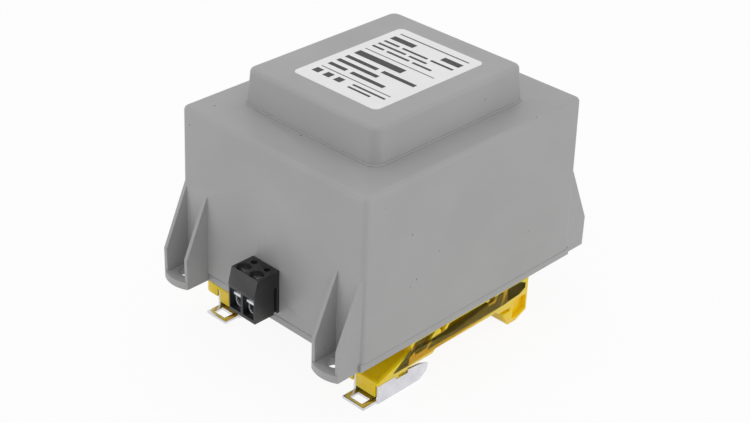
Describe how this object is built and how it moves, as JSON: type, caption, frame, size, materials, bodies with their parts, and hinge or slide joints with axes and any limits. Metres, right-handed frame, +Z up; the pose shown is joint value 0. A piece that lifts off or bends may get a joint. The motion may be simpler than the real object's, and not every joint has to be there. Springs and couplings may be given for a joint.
{
  "type": "encapsulated transformer",
  "caption": "Potted mains transformer in a drafted grey case with a raised crown, corner lugs, screw terminal blocks and yellow rail feet with sprung clips.",
  "frame": {"origin": "centre of the four lug holes, at the level of the undersides of the lugs and the base plate", "axes": "+Z up towards the label, +Y from the secondary wall to the primary wall, X across the case and along a 35 mm rail"},
  "size_m": [0.07, 0.1022, 0.0746],
  "materials": {
    "case_plastic": "fine moulded satin, mid grey",
    "potting_resin": "cast resin",
    "core_steel": "stacked silicon steel laminations",
    "bobbin_plastic": "moulded polyamide",
    "enamelled_copper": "enamelled copper wire",
    "winding_tape": "polyester tape",
    "fuse_body": "tin-plated can",
    "lead_insulation": "soft sleeve",
    "label_film": "white polyester film",
    "terminal_plastic": "moulded polyamide, black",
    "plated_steel": "zinc-plated",
    "foot_plastic": "moulded polyamide, signal yellow",
    "clip_steel": "bright nickel-plated spring steel"
  },
  "bodies": {
    "root": {"housing": "case_plastic", "base_plate": "case_plastic", "potting_compound": "potting_resin", "core_e_stack": "core_steel", "core_i_stack": "core_steel", "bobbin": "bobbin_plastic", "primary_winding": "enamelled_copper", "primary_tape": "winding_tape", "secondary_winding": "enamelled_copper", "secondary_tape": "winding_tape", "thermal_fuse": "fuse_body", "fuse_winding_lead": "lead_insulation", "fuse_terminal_lead": "lead_insulation", "primary_return_lead": "lead_insulation", "secondary_start_lead": "lead_insulation", "secondary_end_lead": "lead_insulation", "rating_label": "label_film", "secondary_terminal_housing": "terminal_plastic", "secondary_left_contact_bar": "plated_steel", "secondary_right_contact_bar": "plated_steel", "primary_terminal_housing": "terminal_plastic", "primary_left_contact_bar": "plated_steel", "primary_right_contact_bar": "plated_steel", "left_rail_foot": "foot_plastic", "left_clip_spring": "plated_steel", "left_foot_screws": "plated_steel", "right_rail_foot": "foot_plastic", "right_clip_spring": "plated_steel", "right_foot_screws": "plated_steel"},
    "secondary_left_clamp_cage_body": {"secondary_left_clamp_cage": "plated_steel"},
    "secondary_left_terminal_screw_body": {"secondary_left_terminal_screw": "plated_steel"},
    "secondary_right_clamp_cage_body": {"secondary_right_clamp_cage": "plated_steel"},
    "secondary_right_terminal_screw_body": {"secondary_right_terminal_screw": "plated_steel"},
    "primary_left_clamp_cage_body": {"primary_left_clamp_cage": "plated_steel"},
    "primary_left_terminal_screw_body": {"primary_left_terminal_screw": "plated_steel"},
    "primary_right_clamp_cage_body": {"primary_right_clamp_cage": "plated_steel"},
    "primary_right_terminal_screw_body": {"primary_right_terminal_screw": "plated_steel"},
    "left_rail_clip_body": {"left_rail_clip": "clip_steel"},
    "right_rail_clip_body": {"right_rail_clip": "clip_steel"}
  },
  "joints": [
    {"name": "secondary_left_screw_turn", "type": "hinge", "parent": "root", "child": "secondary_left_terminal_screw_body", "pos_m": [-0.00334, -0.0478, 0.016], "axis": [0, 0, -1], "range_deg": [0, 1801]},
    {"name": "secondary_left_clamp_lift", "type": "slide", "parent": "root", "child": "secondary_left_clamp_cage_body", "axis": [0, 0, 1], "range_m": [0, 0.0025]},
    {"name": "secondary_right_screw_turn", "type": "hinge", "parent": "root", "child": "secondary_right_terminal_screw_body", "pos_m": [0.00174, -0.0478, 0.016], "axis": [0, 0, -1], "range_deg": [0, 1801]},
    {"name": "secondary_right_clamp_lift", "type": "slide", "parent": "root", "child": "secondary_right_clamp_cage_body", "axis": [0, 0, 1], "range_m": [0, 0.0025]},
    {"name": "primary_left_screw_turn", "type": "hinge", "parent": "root", "child": "primary_left_terminal_screw_body", "pos_m": [0.00334, 0.0478, 0.016], "axis": [0, 0, -1], "range_deg": [0, 1801]},
    {"name": "primary_left_clamp_lift", "type": "slide", "parent": "root", "child": "primary_left_clamp_cage_body", "axis": [0, 0, 1], "range_m": [0, 0.0025]},
    {"name": "primary_right_screw_turn", "type": "hinge", "parent": "root", "child": "primary_right_terminal_screw_body", "pos_m": [-0.00174, 0.0478, 0.016], "axis": [0, 0, -1], "range_deg": [0, 1801]},
    {"name": "primary_right_clamp_lift", "type": "slide", "parent": "root", "child": "primary_right_clamp_cage_body", "axis": [0, 0, 1], "range_m": [0, 0.0025]},
    {"name": "left_clip_pull", "type": "slide", "parent": "root", "child": "left_rail_clip_body", "axis": [0, -1, 0], "range_m": [0, 0.0035], "stiffness_N_per_m": 1500, "springref_m": -0.002, "deforming": ["left_clip_spring"]},
    {"name": "right_clip_pull", "type": "slide", "parent": "root", "child": "right_rail_clip_body", "axis": [0, -1, 0], "range_m": [0, 0.0035], "stiffness_N_per_m": 1500, "springref_m": -0.002, "deforming": ["right_clip_spring"]}
  ],
  "couplings": [
    {"joint": "secondary_left_screw_turn", "follows": "secondary_left_clamp_lift", "rad_per_m": 12566},
    {"joint": "secondary_right_screw_turn", "follows": "secondary_right_clamp_lift", "rad_per_m": 12566},
    {"joint": "primary_left_screw_turn", "follows": "primary_left_clamp_lift", "rad_per_m": 12566},
    {"joint": "primary_right_screw_turn", "follows": "primary_right_clamp_lift", "rad_per_m": 12566}
  ]
}
